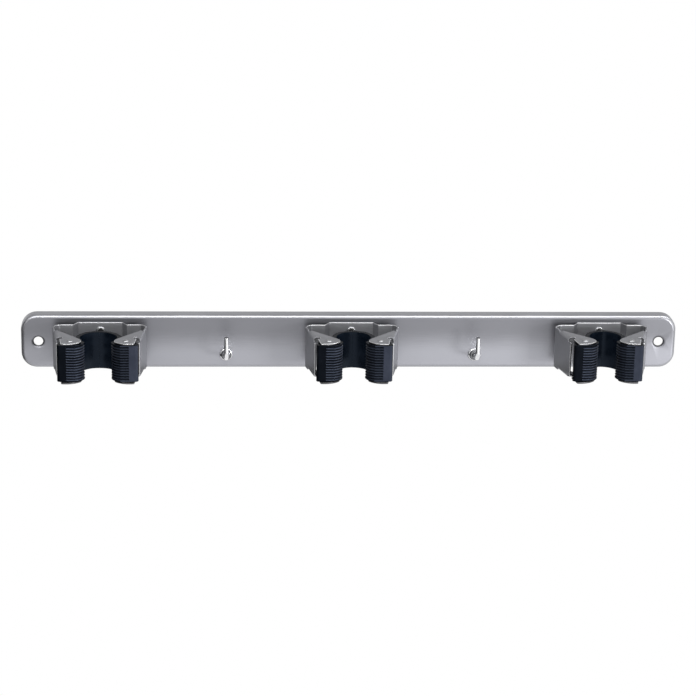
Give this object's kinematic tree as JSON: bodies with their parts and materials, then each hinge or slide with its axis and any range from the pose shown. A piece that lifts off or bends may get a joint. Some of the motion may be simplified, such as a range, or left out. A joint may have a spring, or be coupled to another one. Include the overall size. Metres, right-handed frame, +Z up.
{
  "type": "wall mop holder rack",
  "caption": "Long wall rack for mops and brooms: a pressed steel plate with sprung, ribbed handle clips and upturned wire hooks.",
  "frame": {"origin": "on the wall plane, midway between the two wall screw holes", "axes": "+X along the rack, to the right as seen from the room; +Y into the wall, so the front faces -Y; +Z up"},
  "size_m": [0.5, 0.0627, 0.042],
  "materials": {
    "satin_plate_steel": "satin",
    "bright_strip_steel": "bright rolled",
    "rivet_steel": "drawn",
    "black_claw_rubber": "semi-matt moulded",
    "pin_steel": "polished",
    "spring_steel": "drawn wire",
    "chrome_wire": "plated",
    "collar_chrome": "plated and turned",
    "nut_steel": "zinc plated"
  },
  "bodies": {
    "rack": {"back_plate": "satin_plate_steel", "left_clip_bracket": "bright_strip_steel", "left_clip_rivets": "rivet_steel", "left_clip_left_pin": "pin_steel", "left_clip_left_spring": "spring_steel", "left_clip_right_pin": "pin_steel", "left_clip_right_spring": "spring_steel", "centre_clip_bracket": "bright_strip_steel", "centre_clip_rivets": "rivet_steel", "centre_clip_left_pin": "pin_steel", "centre_clip_left_spring": "spring_steel", "centre_clip_right_pin": "pin_steel", "centre_clip_right_spring": "spring_steel", "right_clip_bracket": "bright_strip_steel", "right_clip_rivets": "rivet_steel", "right_clip_left_pin": "pin_steel", "right_clip_left_spring": "spring_steel", "right_clip_right_pin": "pin_steel", "right_clip_right_spring": "spring_steel", "left_hook": "chrome_wire", "left_hook_collar": "collar_chrome", "left_hook_nut": "nut_steel", "right_hook": "chrome_wire", "right_hook_collar": "collar_chrome", "right_hook_nut": "nut_steel"},
    "left_clip_left_claw": {"left_clip_left_claw": "black_claw_rubber"},
    "left_clip_right_claw": {"left_clip_right_claw": "black_claw_rubber"},
    "centre_clip_left_claw": {"centre_clip_left_claw": "black_claw_rubber"},
    "centre_clip_right_claw": {"centre_clip_right_claw": "black_claw_rubber"},
    "right_clip_left_claw": {"right_clip_left_claw": "black_claw_rubber"},
    "right_clip_right_claw": {"right_clip_right_claw": "black_claw_rubber"}
  },
  "joints": [
    {"name": "left_clip_left_hinge", "type": "hinge", "parent": "rack", "child": "left_clip_left_claw", "pos_m": [-0.21061, -0.05492, 0], "axis": [0, 0, 1], "range_deg": [0, 35], "stiffness_Nm_per_rad": 0.04, "springref_deg": -28.65, "deforming": ["left_clip_left_spring"]},
    {"name": "left_clip_right_hinge", "type": "hinge", "parent": "rack", "child": "left_clip_right_claw", "pos_m": [-0.16939, -0.05492, 0], "axis": [0, 0, -1], "range_deg": [0, 35], "stiffness_Nm_per_rad": 0.04, "springref_deg": -28.65, "deforming": ["left_clip_right_spring"]},
    {"name": "centre_clip_left_hinge", "type": "hinge", "parent": "rack", "child": "centre_clip_left_claw", "pos_m": [-0.01918, -0.05453, 0], "axis": [0, 0, 1], "range_deg": [0, 35], "stiffness_Nm_per_rad": 0.04, "springref_deg": -28.65, "deforming": ["centre_clip_left_spring"]},
    {"name": "centre_clip_right_hinge", "type": "hinge", "parent": "rack", "child": "centre_clip_right_claw", "pos_m": [0.01918, -0.05453, 0], "axis": [0, 0, -1], "range_deg": [0, 35], "stiffness_Nm_per_rad": 0.04, "springref_deg": -28.65, "deforming": ["centre_clip_right_spring"]},
    {"name": "right_clip_left_hinge", "type": "hinge", "parent": "rack", "child": "right_clip_left_claw", "pos_m": [0.17252, -0.05397, 0], "axis": [0, 0, 1], "range_deg": [0, 35], "stiffness_Nm_per_rad": 0.04, "springref_deg": -28.65, "deforming": ["right_clip_left_spring"]},
    {"name": "right_clip_right_hinge", "type": "hinge", "parent": "rack", "child": "right_clip_right_claw", "pos_m": [0.20748, -0.05397, 0], "axis": [0, 0, -1], "range_deg": [0, 35], "stiffness_Nm_per_rad": 0.04, "springref_deg": -28.65, "deforming": ["right_clip_right_spring"]}
  ]
}
